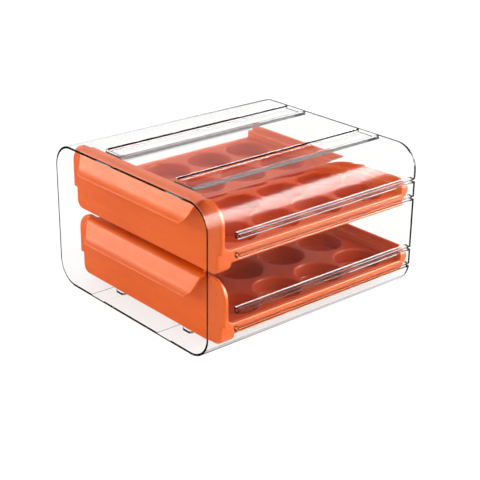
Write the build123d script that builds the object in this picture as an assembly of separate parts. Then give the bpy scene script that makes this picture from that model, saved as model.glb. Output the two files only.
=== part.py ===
from build123d import *
import os

# Two-tier egg storage box: a clear case with two pull-out drawers, each with a dropped-in egg tray.
# Millimetres. +Z is up, -Y is the front, the origin is the centre of the whole box's underside.

# ---- case ----
case_width = 210.0
case_depth = 234.0
case_height = 131.4
wall = 2.0
corner_radius = 22.0
foot_height = 2.5
lip_overhang = 0.5          # how far the upper lip stands in front of the case at rest
case_front = lip_overhang - (case_depth + lip_overhang) / 2
case_back = case_front + case_depth
case_floor = foot_height    # height of the case's flat underside

# ---- rails pressed into the side walls ----
rail_height = 5.0
rail_skin = 1.3
rail_reach = 4.5            # how far a rail stands into the case
rail_front = 31.0           # distance of its front end behind the case's front edge
rail_top_below_flange = 3.2
rail_gap_above_flange = 8.0

# ---- stacking grooves in the top and foot runners underneath ----
groove_centre = 47.5
groove_width = 23.0
groove_depth = 3.0
groove_front = 22.0
runner_centre = 47.8
runner_width = 12.0
runner_corner = 2.8
runner_front = 23.0
floor_recess_width = 18.5
floor_recess_depth = 0.4

# ---- drawer ----
tier_pitch = 64.0
upper_rest_opening = 4.0    # the upper drawer stands this far out at rest
flange_top = 26.2           # above the case's underside, lower tier
flange_thickness = 2.8
flange_half = 101.5
skirt_half = 97.2
skirt_bottom = 13.5
skin = 1.8
panel_front = 19.1          # distance of the panel's face behind the case's front edge
panel_skin = 2.4
rim_depth = 3.7
rim_width = 2.2
panel_top = 63.2
panel_bottom = 5.0
panel_top_radius = 17.0
panel_bottom_radius = 7.5
box_back = 33.0
box_back_radius = 7.0
gusset_radius = 6.5
drawer_back = 231.0
riser_front = 223.5
riser_top = 32.7
riser_corner = 6.0
upstand_top = 39.5
upstand_front = 225.4

# ---- lip handle ----
lip_skin = 2.2
lip_top = 64.4
lip_bend_start = 18.0       # where the flat top strip starts to curve down
lip_bend_radius = 6.2
lip_slope = 66.0
lip_straight = 10.0
lip_flare_radius = 16.0
lip_flare = 20.0
lip_end_length = 3.0
lip_half_root = 74.0
lip_half_top = 80.3
lip_half_tip = 71.7
lip_spread_start = 21.5     # depths between which the top strip spreads to its full length
lip_spread_end = 17.0
lip_corner = 10.0

# ---- egg tray ----
tray_skin = 1.6
tray_top = 26.0
tray_half = 98.0
tray_front = 25.2
tray_back = 223.2
tray_corner = 4.0
seat_clearance = 0.3
cup_columns = 4
cup_rows = 4
cup_pitch_x = 48.5
cup_pitch_y = 48.0
cup_middle = 126.0
cup_mouth = 21.0
cup_depth = 18.5
cup_floor = 9.0
cup_belly = 19.6
cup_belly_depth = 12.0
cup_edge = 1.0


def slab(x_low, x_high, near, far, low, high):
    """A block between two x planes, two depths behind the case's front and two heights above its underside."""
    size = (x_high - x_low, far - near, high - low)
    corner = (x_low, case_front + near, case_floor + low)
    return Pos(*corner) * Box(*size, align=(Align.MIN, Align.MIN, Align.MIN))


def both_sides(solid):
    return solid + mirror(solid, Plane.YZ)


def front_prism(outline, near, far):
    """Extrude an X-Z outline from one depth behind the case's front edge to another."""
    face = Pos(0, case_front + far, case_floor) * (Plane.XZ * outline)
    return extrude(face, far - near)


def side_prism(outline, x_low, x_high):
    """Extrude a depth-height outline from one x plane to another."""
    face = Pos(x_low, case_front, case_floor) * (Plane.YZ * outline)
    return extrude(face, x_high - x_low)


# ---------------------------------------------------------------- case

def case_outline(inset):
    flat = RectangleRounded(case_width - 2 * inset, case_height - 2 * inset, corner_radius - inset)
    return Pos(0, case_height / 2) * flat


def rail_tops():
    """Heights of the rails' top faces, above the case's underside."""
    lower_rail = flange_top - rail_top_below_flange
    upper_rail = flange_top + rail_gap_above_flange + rail_height
    return [lower_rail, upper_rail, lower_rail + tier_pitch, upper_rail + tier_pitch]


def rail_body(top):
    """A ledge inside the side wall."""
    tip = case_width / 2 - wall - rail_reach
    root = case_width / 2 - wall / 2
    body = slab(tip, root, rail_front, case_depth - wall / 2, top - rail_height, top)
    tip_corner = body.edges().filter_by(Axis.Z).group_by(Axis.Y)[0].sort_by(Axis.X)[0]
    body = fillet(tip_corner, 1.2)
    return fillet(body.edges().group_by(Axis.Z)[-1].group_by(Axis.X)[0], 0.5)


def rail_groove(top):
    """The slot along the wall's outside that hollows a rail."""
    deep = case_width / 2 - wall - rail_reach + rail_skin
    low = top - rail_height + rail_skin
    return slab(deep, case_width / 2 + 1, rail_front + rail_skin, case_depth + 1, low, top - rail_skin)


def groove_outline(grow, near, far):
    length = far - near
    width = groove_width + 2 * grow
    flat = Pos(groove_centre, case_front + (near + far) / 2) * Rectangle(width, length)
    front_corners = flat.vertices().group_by(Axis.Y)[0]
    return fillet(front_corners, 4.0 + grow)


def groove_body():
    flat = groove_outline(wall, groove_front - wall, case_depth - wall / 2)
    low = case_floor + case_height - wall - groove_depth
    return extrude(Pos(0, 0, low) * flat, groove_depth + wall / 2)


def groove_hollow():
    flat = groove_outline(0, groove_front, case_depth - wall)
    low = case_floor + case_height - groove_depth
    cut = extrude(Pos(0, 0, low) * flat, groove_depth + 1)
    return fillet(cut.edges().group_by(Axis.Z)[0], 0.8)


def runner_outline(inset):
    near = runner_front + inset
    far = case_depth - wall - inset
    width = runner_width - 2 * inset
    flat = Pos(runner_centre, case_front + (near + far) / 2) * Rectangle(width, far - near)
    return fillet(flat.vertices(), runner_corner - inset)


def runner_body():
    body = extrude(runner_outline(0), case_floor + wall / 2)
    return fillet(body.edges().group_by(Axis.Z)[0], 0.8)


def runner_hollow():
    return extrude(Pos(0, 0, wall) * runner_outline(wall), case_floor + wall)


def floor_recess():
    half = floor_recess_width / 2
    low = wall - floor_recess_depth
    return slab(runner_centre - half, runner_centre + half, -1, case_depth - wall, low, wall + 1)


def clear_case():
    shell = front_prism(case_outline(0), 0, case_depth)
    shell -= front_prism(case_outline(wall), -1, case_depth - wall)
    shell = fillet(shell.edges().group_by(Axis.Y)[0], 0.6)
    shell = fillet(shell.edges().group_by(Axis.Y)[-1], 1.2)
    shell -= both_sides(floor_recess())
    shell += both_sides(groove_body())
    shell += both_sides(runner_body())
    for top in rail_tops():
        shell += both_sides(rail_body(top))
    shell -= both_sides(groove_hollow())
    shell -= both_sides(runner_hollow())
    for top in rail_tops():
        shell -= both_sides(rail_groove(top))
    return shell


# ---------------------------------------------------------------- drawer frame

def panel_outline(inset):
    """Front view of the panel: wide and round-shouldered above the flange, narrower below it."""
    upper_low = flange_top - flange_thickness + inset
    upper_height = panel_top - inset - upper_low
    upper = Rectangle(2 * (flange_half - inset), upper_height)
    upper = Pos(0, upper_low + upper_height / 2) * upper
    upper = fillet(upper.vertices().group_by(Axis.Y)[-1], panel_top_radius - inset)
    lower_height = upper_low + 1 - panel_bottom - inset
    lower = Rectangle(2 * (skirt_half - inset), lower_height)
    lower = Pos(0, panel_bottom + inset + lower_height / 2) * lower
    lower = fillet(lower.vertices().group_by(Axis.Y)[0], panel_bottom_radius - inset)
    return upper + lower


def panel():
    face = front_prism(panel_outline(0), panel_front, panel_front + rim_depth)
    face = fillet(face.edges().group_by(Axis.Y)[0], 1.6)
    hollow = front_prism(panel_outline(rim_width), panel_front + panel_skin, panel_front + rim_depth + 1)
    return face - hollow


def lower_box():
    """The tub under the flange, behind the panel."""
    below_flange = Pos(0, flange_top - flange_thickness + 0.5 - 50) * Rectangle(250, 100)
    ring = (panel_outline(0) & below_flange) - panel_outline(skin)
    body = front_prism(ring, panel_front + panel_skin - 0.2, box_back)
    side = Rectangle(box_back - panel_front, 30, align=(Align.MIN, Align.MIN))
    side = Pos(panel_front, panel_bottom) * side
    side = fillet(side.vertices().group_by(Axis.Y)[0].sort_by(Axis.X)[-1], box_back_radius)
    return body & side_prism(side, -flange_half, flange_half)


def side_rail():
    under = flange_top - flange_thickness
    near = panel_front + rim_depth - 0.5
    flange = slab(skirt_half - skin, flange_half, near, drawer_back - skin, under, flange_top)
    flange = fillet(flange.edges().filter_by(Axis.Y).group_by(Axis.X)[-1], 0.6)
    rebate_low = tray_top - tray_skin
    rebate = slab(0, tray_half + seat_clearance, near - 1, riser_front, rebate_low, flange_top + 1)
    skirt = slab(skirt_half - skin, skirt_half, box_back - 1, drawer_back - skin, skirt_bottom, under + 0.5)
    return (flange - rebate) + skirt


def gusset():
    """Concave corner between the panel's rim and the flange."""
    start = panel_front + rim_depth - 0.2
    block = Pos(start, flange_top - 0.2) * Rectangle(
        gusset_radius + 0.2, gusset_radius + 0.2, align=(Align.MIN, Align.MIN)
    )
    bite = Pos(start + gusset_radius + 0.2, flange_top + gusset_radius) * Circle(gusset_radius)
    return side_prism(block - bite, tray_half + seat_clearance, flange_half)


def front_ledge():
    near = panel_front + panel_skin - 0.2
    seat = tray_top - tray_skin
    ledge = slab(-skirt_half + 0.5, skirt_half - 0.5, near, tray_front + 2, seat - skin, seat)
    half = skirt_half - 0.5
    curb = slab(-half, half, near, tray_front - seat_clearance, seat - 0.2, flange_top)
    return ledge + curb


def rear_riser():
    """Hollow step across the back that runs under the rail above, and the upstand on it."""
    under = flange_top - flange_thickness
    step = slab(-flange_half, flange_half, riser_front, drawer_back, under, riser_top)
    low_back_edge = step.edges().filter_by(Axis.X).group_by(Axis.Y)[-1].sort_by(Axis.Z)[0]
    step = fillet(low_back_edge, riser_corner)
    step = fillet(step.edges().group_by(Axis.Z)[-1], 0.8)
    inner = skirt_half - skin
    step -= slab(-inner, inner, riser_front + skin, drawer_back - skin, under - 1, riser_top - skin)
    skirt_top = under + riser_corner
    back_skirt = slab(-skirt_half, skirt_half, drawer_back - skin, drawer_back, skirt_bottom, skirt_top)
    side_skirt = slab(inner, skirt_half, riser_front, drawer_back, skirt_bottom, under + 0.5)
    upstand = slab(-skirt_half, skirt_half, upstand_front, upstand_front + skin, riser_top - 0.5, upstand_top)
    upstand = fillet(upstand.edges().group_by(Axis.Z)[-1], 0.7)
    seat = tray_top - tray_skin
    ledge = slab(-inner - 0.5, inner + 0.5, riser_front - 2.4, riser_front + 0.5, seat - 1.2, seat)
    return step + back_skirt + both_sides(side_skirt) + upstand + ledge


def lip_profile():
    """Side view of the lip: a strip on the panel's top edge that curls forward and down to a flared tip."""
    strip = Line((panel_front + rim_depth, lip_top), (lip_bend_start, lip_top))
    bend = JernArc(strip @ 1, (-1, 0), lip_bend_radius, lip_slope)
    slope = Line(bend @ 1, (bend @ 1) + (bend % 1) * lip_straight)
    flare = JernArc(slope @ 1, slope % 1, lip_flare_radius, -lip_flare)
    end = Line(flare @ 1, (flare @ 1) + (flare % 1) * lip_end_length)
    upper_side = Wire([strip, bend, slope, flare, end])
    closed = offset(upper_side, lip_skin, side=Side.LEFT, closed=True)
    face = make_face(closed.edges())
    tip_corners = face.vertices().group_by(Axis.Y)[0] + face.vertices().group_by(Axis.X)[0]
    return fillet(tip_corners, 0.95)


def lip_front_view():
    """Front view of the lip: it narrows towards the tip and has rounded free corners."""
    low = lip_profile().bounding_box().min.Y
    corners = [(0, lip_top), (lip_half_top, lip_top), (lip_half_tip, low), (0, low)]
    half = make_face(Polyline(*corners, close=True))
    half = fillet(half.vertices().group_by(Axis.Y)[0].sort_by(Axis.X)[-1], lip_corner)
    return half + mirror(half, Plane.YZ)


def lip_plan_view():
    """Plan of the lip: its top strip is shorter on the panel and spreads towards the front."""
    back = panel_front + rim_depth + 1
    wide = lip_half_top + 1
    root = [(0, back), (lip_half_root, back), (lip_half_root, lip_spread_start)]
    front = [(wide, lip_spread_end), (wide, -20), (0, -20)]
    half = make_face(Polyline(*root, *front, close=True))
    half = fillet(half.vertices().group_by(Axis.X)[-1].sort_by(Axis.Y)[-1], 4.0)
    return half + mirror(half, Plane.YZ)


def lip():
    bar = side_prism(lip_profile(), -lip_half_top - 3, lip_half_top + 3)
    bar &= front_prism(lip_front_view(), -20, panel_front + rim_depth + 1)
    plan = extrude(Pos(0, case_front, case_floor) * lip_plan_view(), 2 * lip_top)
    return bar & plan


def drawer_frame():
    frame = panel() + lower_box() + front_ledge() + rear_riser()
    frame += both_sides(side_rail() + gusset())
    return frame + lip()


# ---------------------------------------------------------------- egg tray

def cup_solid(grow):
    """A cup's inside, steep above and tapering below, or with grow set to the skin thickness its outside."""
    floor = -cup_depth - grow
    mouth = (cup_mouth + grow, 0)
    belly = (cup_belly + 0.9 * grow, -cup_belly_depth - 0.3 * grow)
    foot = (cup_floor + 0.5 * grow, floor)
    outline = Polyline((0, floor), foot, belly, mouth, (0, 0), close=True)
    return revolve(Plane.XZ * make_face(outline), Axis.Z)


def cup_places():
    height = case_floor + tray_top
    grid = GridLocations(cup_pitch_x, cup_pitch_y, cup_columns, cup_rows)
    return Pos(0, case_front + cup_middle, height) * grid


def egg_tray():
    length = tray_back - tray_front
    flat = RectangleRounded(2 * tray_half, length, tray_corner)
    centre = (0, case_front + tray_front + length / 2, case_floor + tray_top - tray_skin)
    tray = extrude(Pos(*centre) * flat, tray_skin)
    for place in cup_places():
        tray += place * cup_solid(tray_skin)
    for place in cup_places():
        tray -= place * cup_solid(0)
    rims = tray.edges().filter_by(GeomType.CIRCLE).group_by(Axis.Z)[-1]
    mouths = [edge for edge in rims if edge.radius > cup_floor]
    return chamfer(mouths, cup_edge)


# ---------------------------------------------------------------- assembly

lower_frame = drawer_frame()
lower_tray = egg_tray()
upper_place = Pos(0, -upper_rest_opening, tier_pitch)

parts = {
    "clear_case": clear_case(),
    "lower_drawer": lower_frame,
    "lower_egg_tray": lower_tray,
    "upper_drawer": upper_place * lower_frame,
    "upper_egg_tray": upper_place * lower_tray,
}

os.makedirs("parts", exist_ok=True)
for name, solid in parts.items():
    export_step(solid, f"parts/{name}.step")
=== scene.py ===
import math

import bpy
from mathutils import Matrix, Vector


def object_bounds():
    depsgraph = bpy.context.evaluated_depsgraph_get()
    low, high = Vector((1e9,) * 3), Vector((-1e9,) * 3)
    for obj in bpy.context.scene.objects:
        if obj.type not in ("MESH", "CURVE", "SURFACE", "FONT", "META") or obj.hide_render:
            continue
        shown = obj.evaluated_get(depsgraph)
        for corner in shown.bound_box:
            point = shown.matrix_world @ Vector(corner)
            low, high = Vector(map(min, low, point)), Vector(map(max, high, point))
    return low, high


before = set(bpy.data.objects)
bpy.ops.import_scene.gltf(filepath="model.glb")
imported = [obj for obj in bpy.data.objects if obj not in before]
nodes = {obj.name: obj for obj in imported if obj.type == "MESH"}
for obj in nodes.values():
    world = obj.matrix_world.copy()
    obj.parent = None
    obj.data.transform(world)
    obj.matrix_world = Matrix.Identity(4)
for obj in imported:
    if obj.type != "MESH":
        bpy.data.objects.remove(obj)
cad_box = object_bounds()
scene = bpy.context.scene

clear_index = 1.49                  # refractive index of the clear styrene
smooth_angle = math.radians(32)     # edges sharper than this stay sharp


# ---------------------------------------------------------------- node helpers

class Tree:
    """A small wrapper that keeps the material code short."""

    def __init__(self, owner):
        owner.use_nodes = True
        self.tree = owner.node_tree
        self.tree.nodes.clear()

    def add(self, kind, **settings):
        node = self.tree.nodes.new(kind)
        for name, value in settings.items():
            setattr(node, name, value)
        return node

    def put(self, socket, value):
        """Link a node's socket or set a constant on the socket itself."""
        if isinstance(value, bpy.types.NodeSocket):
            self.tree.links.new(value, socket)
        else:
            socket.default_value = value

    def math(self, operation, a, b=0.0, clamp=False):
        node = self.add("ShaderNodeMath", operation=operation, use_clamp=clamp)
        self.put(node.inputs[0], a)
        self.put(node.inputs[1], b)
        return node.outputs[0]

    def ramp(self, value, low, high, to_low=0.0, to_high=1.0, smooth=True):
        node = self.add("ShaderNodeMapRange")
        node.interpolation_type = "SMOOTHSTEP" if smooth else "LINEAR"
        self.put(node.inputs["Value"], value)
        node.inputs["From Min"].default_value = low
        node.inputs["From Max"].default_value = high
        node.inputs["To Min"].default_value = to_low
        node.inputs["To Max"].default_value = to_high
        return node.outputs["Result"]

    def mix(self, factor, a, b, blend="MIX"):
        node = self.add("ShaderNodeMix", data_type="RGBA", blend_type=blend)
        self.put(node.inputs[0], factor)
        self.put(node.inputs[6], a)
        self.put(node.inputs[7], b)
        return node.outputs[2]

    def scaled(self, vector, scale):
        node = self.add("ShaderNodeMapping")
        self.put(node.inputs["Vector"], vector)
        node.inputs["Scale"].default_value = scale
        return node.outputs["Vector"]

    def noise(self, vector, scale, detail=2.0, roughness=0.5):
        node = self.add("ShaderNodeTexNoise")
        self.put(node.inputs["Vector"], vector)
        node.inputs["Scale"].default_value = scale
        node.inputs["Detail"].default_value = detail
        node.inputs["Roughness"].default_value = roughness
        return node.outputs["Fac"]

    def bump(self, height, distance, strength=1.0, normal=None):
        node = self.add("ShaderNodeBump")
        node.inputs["Strength"].default_value = strength
        node.inputs["Distance"].default_value = distance
        self.put(node.inputs["Height"], height)
        if normal is not None:
            self.put(node.inputs["Normal"], normal)
        return node.outputs["Normal"]


def orange_plastic(name, deep, light, polish):
    """Satin injection-moulded plastic: faint flow streaks, a fine eroded texture and a painted highlight that
    makes the edges slightly paler.
    """
    material = bpy.data.materials.new(name)
    t = Tree(material)
    where = t.add("ShaderNodeTexCoord").outputs["Object"]

    cloud = t.noise(where, 11.0, 3.0)
    flow = t.noise(t.scaled(where, (6.0, 1.0, 26.0)), 7.0, 4.0, 0.6)
    blend = t.math("ADD", t.math("MULTIPLY", cloud, 0.6), t.math("MULTIPLY", flow, 0.4))
    colour = t.mix(t.ramp(blend, 0.35, 0.65), deep, light)

    # Where a rounded copy of the normal leaves the true one is an edge; there the colour is mixed toward a
    # paler orange, a painted highlight along the edges.
    round_normal = t.add("ShaderNodeBevel", samples=4)
    round_normal.inputs["Radius"].default_value = 0.0011
    true_normal = t.add("ShaderNodeNewGeometry").outputs["Normal"]
    dot = t.add("ShaderNodeVectorMath", operation="DOT_PRODUCT")
    t.put(dot.inputs[0], round_normal.outputs["Normal"])
    t.put(dot.inputs[1], true_normal)
    edge = t.ramp(dot.outputs["Value"], 0.99, 0.80)
    # The paler edge colour is a painted highlight.
    painted_edge_highlight = [min(1.0, c * 1.12 + 0.035) for c in light[:3]] + [1.0]
    colour = t.mix(t.math("MULTIPLY", edge, 0.55), colour, painted_edge_highlight)

    grain = t.noise(where, 1500.0, 2.0)
    smear = t.noise(t.scaled(where, (1.0, 1.0, 3.0)), 90.0, 3.0)
    roughness = t.math("ADD", t.ramp(smear, 0.3, 0.7, 0.33, 0.41), t.ramp(grain, 0.3, 0.7, 0.0, 0.05))
    roughness = t.math("SUBTRACT", roughness, t.math("MULTIPLY", edge, 0.06))

    ripple = t.noise(where, 26.0, 2.0)
    normal = t.bump(grain, 0.00003, 0.55, round_normal.outputs["Normal"])
    normal = t.bump(ripple, 0.0006, 0.16, normal)

    shader = t.add("ShaderNodeBsdfPrincipled")
    t.put(shader.inputs["Base Color"], colour)
    t.put(shader.inputs["Roughness"], roughness)
    t.put(shader.inputs["Normal"], normal)
    shader.inputs["IOR"].default_value = polish
    shader.inputs["Specular IOR Level"].default_value = 0.2
    shader.inputs["Specular Tint"].default_value = (1.0, 0.62, 0.38, 1.0)
    shader.inputs["Subsurface Weight"].default_value = 0.10
    shader.inputs["Subsurface Radius"].default_value = (1.0, 0.35, 0.12)
    shader.inputs["Subsurface Scale"].default_value = 0.0035
    t.put(t.add("ShaderNodeOutputMaterial").inputs["Surface"], shader.outputs[0])
    return material


def clear_plastic(name):
    """Polished clear styrene: walls that bend light, a faint mould ripple and a trace of handling haze."""
    material = bpy.data.materials.new(name)
    t = Tree(material)
    where = t.add("ShaderNodeTexCoord").outputs["Object"]
    ripple = t.noise(where, 9.0, 1.0)
    haze = t.noise(t.scaled(where, (1.0, 3.0, 1.0)), 40.0, 4.0, 0.65)
    roughness = t.ramp(haze, 0.45, 0.8, 0.0, 0.006)
    normal = t.bump(ripple, 0.0008, 0.01)
    through = t.add("ShaderNodeBsdfRefraction")
    through.inputs["Color"].default_value = (0.972, 0.972, 0.970, 1.0)
    through.inputs["IOR"].default_value = clear_index
    t.put(through.inputs["Roughness"], roughness)
    t.put(through.inputs["Normal"], normal)
    gloss = t.add("ShaderNodeBsdfAnisotropic")
    t.put(gloss.inputs["Normal"], normal)
    # The soft polish mirrors less than a hard glass of the same index, least of all where it is met head on.
    mirror = t.add("ShaderNodeFresnel")
    mirror.inputs["IOR"].default_value = clear_index
    t.put(mirror.inputs["Normal"], normal)
    surface = t.add("ShaderNodeMixShader")
    slanting = t.ramp(mirror.outputs[0], 0.06, 0.13, 0.08, 0.25)
    trapped = t.ramp(mirror.outputs[0], 0.4, 1.0, 0.0, 0.55)
    share = t.math("ADD", slanting, trapped)
    softness = t.ramp(mirror.outputs[0], 0.10, 0.30, 0.18, 0.0)
    t.put(gloss.inputs["Roughness"], t.math("ADD", softness, roughness))
    t.put(surface.inputs[0], t.math("MULTIPLY", mirror.outputs[0], share))
    t.put(surface.inputs[1], through.outputs[0])
    t.put(surface.inputs[2], gloss.outputs[0])
    depth = t.add("ShaderNodeVolumeAbsorption")
    depth.inputs["Color"].default_value = (0.55, 0.57, 0.58, 1.0)
    depth.inputs["Density"].default_value = 22.0
    output = t.add("ShaderNodeOutputMaterial")
    t.put(output.inputs["Surface"], surface.outputs[0])
    t.put(output.inputs["Volume"], depth.outputs[0])
    return material


def floor_paint(name):
    material = bpy.data.materials.new(name)
    t = Tree(material)
    where = t.add("ShaderNodeTexCoord").outputs["Object"]
    soft = t.noise(where, 1.3, 2.0)
    colour = t.mix(soft, (0.17, 0.17, 0.17, 1.0), (0.19, 0.19, 0.188, 1.0))
    shader = t.add("ShaderNodeBsdfPrincipled")
    t.put(shader.inputs["Base Color"], colour)
    shader.inputs["Roughness"].default_value = 0.75
    shader.inputs["Specular IOR Level"].default_value = 0.2
    shader.inputs["Emission Color"].default_value = (1.0, 1.0, 1.0, 1.0)
    shader.inputs["Emission Strength"].default_value = 0.85
    t.put(t.add("ShaderNodeOutputMaterial").inputs["Surface"], shader.outputs[0])
    return material


# ---------------------------------------------------------------- surface of the CAD nodes

def rounded_shading():
    """Geometry nodes that join coincident points and shade smooth across edges flatter than smooth_angle."""
    group = bpy.data.node_groups.new("smooth_by_angle", "GeometryNodeTree")
    group.interface.new_socket("Geometry", in_out="INPUT", socket_type="NodeSocketGeometry")
    group.interface.new_socket("Geometry", in_out="OUTPUT", socket_type="NodeSocketGeometry")
    add = group.nodes.new
    link = group.links.new
    start = add("NodeGroupInput")
    end = add("NodeGroupOutput")
    weld = add("GeometryNodeMergeByDistance")
    weld.inputs["Distance"].default_value = 0.000002
    faces = add("GeometryNodeSetShadeSmooth")
    faces.domain = "FACE"
    faces.inputs["Shade Smooth"].default_value = True
    edges = add("GeometryNodeSetShadeSmooth")
    edges.domain = "EDGE"
    edges.inputs["Shade Smooth"].default_value = False
    angle = add("GeometryNodeInputMeshEdgeAngle")
    sharp = add("FunctionNodeCompare")
    sharp.data_type = "FLOAT"
    sharp.operation = "GREATER_THAN"
    sharp.inputs[1].default_value = smooth_angle
    link(start.outputs[0], weld.inputs["Geometry"])
    link(weld.outputs["Geometry"], faces.inputs["Geometry"])
    link(faces.outputs["Geometry"], edges.inputs["Geometry"])
    link(angle.outputs["Unsigned Angle"], sharp.inputs[0])
    link(sharp.outputs["Result"], edges.inputs["Selection"])
    link(edges.outputs["Geometry"], end.inputs[0])
    return group


shading = rounded_shading()


def dress(name, material):
    piece = nodes[name]
    piece.data.materials.clear()
    piece.data.materials.append(material)
    smooth = piece.modifiers.new("smooth_by_angle", "NODES")
    smooth.node_group = shading
    weighted = piece.modifiers.new("flat_faces_stay_flat", "WEIGHTED_NORMAL")
    weighted.mode = "FACE_AREA"
    weighted.weight = 90
    weighted.keep_sharp = True
    return piece


frame_orange = orange_plastic("drawer_orange", (0.62, 0.083, 0.005, 1.0), (0.68, 0.104, 0.008, 1.0), 1.42)
# The trays use a darker copy of the drawer orange, darkened to the shaded tone of the trays inside the
# drawers: painted shade.
shaded_tray_orange = orange_plastic("shaded_tray_orange", (0.50, 0.046, 0.003, 1.0), (0.56, 0.060, 0.005, 1.0), 1.25)
clear = clear_plastic("clear_styrene")

dress("upper_drawer", frame_orange)
dress("lower_drawer", frame_orange)
dress("upper_egg_tray", shaded_tray_orange)
dress("lower_egg_tray", shaded_tray_orange)
case = dress("clear_case", clear)
# Lamps and bounced light reach the drawers straight through the clear walls.
case.visible_shadow = False
case.visible_diffuse = False


# ---------------------------------------------------------------- studio

def add_floor():
    half = 8.0
    mesh = bpy.data.meshes.new("floor")
    corners = [(-half, -half, 0), (half, -half, 0), (half, half, 0), (-half, half, 0)]
    mesh.from_pydata(corners, [], [(0, 1, 2, 3)])
    plane = bpy.data.objects.new("floor", mesh)
    plane.location.z = cad_box[0][2] - 0.0002
    scene.collection.objects.link(plane)
    mesh.materials.append(floor_paint("floor_paint"))
    return plane


def add_softbox(name, azimuth, elevation, distance, width, height, power, lights=True):
    """An area lamp aimed at the object. Azimuth 0 is behind it, 90 to its right. Some only give a gloss."""
    data = bpy.data.lights.new(name, "AREA")
    data.shape = "RECTANGLE"
    data.size = width
    data.size_y = height
    data.energy = power
    lamp = bpy.data.objects.new(name, data)
    az = math.radians(azimuth)
    el = math.radians(elevation)
    target = Vector((0.0, 0.0, 0.06))
    way = Vector((math.sin(az) * math.cos(el), math.cos(az) * math.cos(el), math.sin(el)))
    lamp.location = target + way * distance
    lamp.rotation_euler = way.to_track_quat("Z", "Y").to_euler()
    lamp.visible_diffuse = lights
    scene.collection.objects.link(lamp)
    return lamp


def add_world():
    """A dim grey room with one white wall behind the object and to its left."""
    world = bpy.data.worlds.new("studio")
    scene.world = world
    t = Tree(world)
    way = t.add("ShaderNodeTexCoord").outputs["Generated"]
    split = t.add("ShaderNodeSeparateXYZ")
    t.put(split.inputs[0], way)
    below_top = t.ramp(split.outputs["Z"], 0.66, 0.52)
    aim = t.add("ShaderNodeVectorMath", operation="DOT_PRODUCT")
    t.put(aim.inputs[0], way)
    aim.inputs[1].default_value = (-0.743, 0.669, 0.0)
    wall = t.math("MULTIPLY", t.ramp(aim.outputs["Value"], 0.35, 0.60), below_top)
    colour = t.mix(wall, (0.75, 0.75, 0.755, 1.0), (1.5, 1.5, 1.5, 1.0))
    background = t.add("ShaderNodeBackground")
    t.put(background.inputs["Color"], colour)
    background.inputs["Strength"].default_value = 1.0
    t.put(t.add("ShaderNodeOutputWorld").inputs["Surface"], background.outputs[0])


def add_camera():
    azimuth = math.radians(49.153)
    elevation = math.radians(22.809)
    roll = math.radians(0.612)
    reach = math.cos(elevation)
    back = Vector((math.sin(azimuth) * reach, -math.cos(azimuth) * reach, math.sin(elevation)))
    level = Vector((math.cos(azimuth), math.sin(azimuth), 0.0))
    upright = back.cross(level)
    right = math.cos(roll) * level + math.sin(roll) * upright
    up = -math.sin(roll) * level + math.cos(roll) * upright
    data = bpy.data.cameras.new("camera")
    data.lens = 89.70
    data.sensor_width = 36.0
    data.sensor_fit = "HORIZONTAL"
    data.clip_start = 0.01
    data.clip_end = 60.0
    camera = bpy.data.objects.new("camera", data)
    turn = Matrix((right, up, back)).transposed().to_4x4()
    camera.matrix_world = Matrix.Translation((0.74850, -0.64113, 0.45826)) @ turn
    scene.collection.objects.link(camera)
    scene.camera = camera


add_floor()
add_world()
add_softbox("key", 215, 24, 1.9, 1.4, 0.90, 12)
add_softbox("key_gloss", 225, 12, 1.9, 1.3, 0.50, 50, lights=False)
add_softbox("top", 60, 80, 1.9, 1.8, 1.8, 8)
add_softbox("right", 75, 25, 2.2, 1.30, 1.60, 16)
add_softbox("rim_gloss", 42, 22, 2.2, 1.10, 1.60, 900, lights=False)
add_camera()
scene.view_settings.view_transform = "Standard"
scene.view_settings.look = "None"
